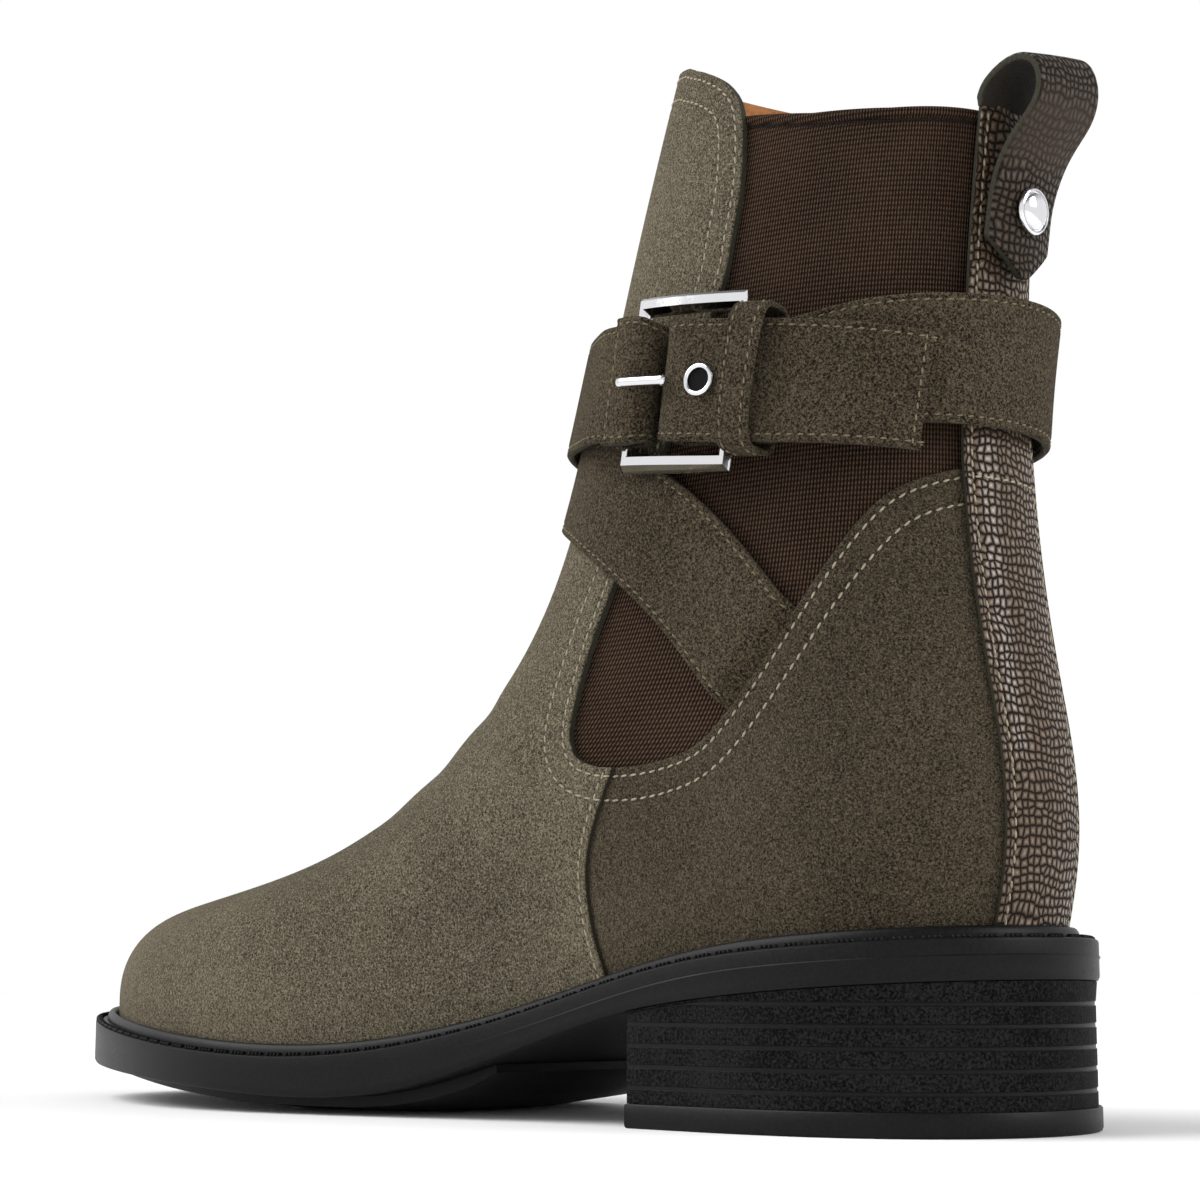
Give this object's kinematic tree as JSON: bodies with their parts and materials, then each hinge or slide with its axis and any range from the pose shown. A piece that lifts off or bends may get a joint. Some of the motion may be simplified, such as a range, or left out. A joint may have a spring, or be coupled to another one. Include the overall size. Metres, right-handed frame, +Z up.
{
  "type": "harness ankle boot",
  "caption": "Left suede ankle boot with elastic side panels, crossed harness straps that fasten at a side buckle, an embossed back strip with a pull loop, and a low stacked heel.",
  "frame": {"origin": "middle of the bounding box, on the floor that the heel and the forefoot stand on", "axes": "+Z up, the toe towards -Y, the outer side of this left boot towards +X"},
  "size_m": [0.0943, 0.2658, 0.203],
  "materials": {
    "suede": "napped suede",
    "elastic": "ribbed elastic webbing",
    "embossed_leather": "embossed, semi-gloss",
    "sole_rubber": "satin",
    "heel_stack": "dyed stacked layers, satin",
    "insole": "matte",
    "bright_metal": "polished"
  },
  "bodies": {
    "root": {"outsole": "sole_rubber", "forefoot_tread": "sole_rubber", "welt": "sole_rubber", "heel_stack": "heel_stack", "top_lift": "sole_rubber", "insole": "insole", "upper": "suede", "gore_outer": "elastic", "gore_inner": "elastic", "back_strip": "embossed_leather", "pull_loop": "embossed_leather", "loop_stud": "bright_metal", "wrap_strap": "suede", "buckle_strap": "suede", "strap_keeper": "suede", "buckle_frame": "bright_metal", "buckle_prong": "bright_metal", "eyelet": "bright_metal"}
  },
  "joints": []
}
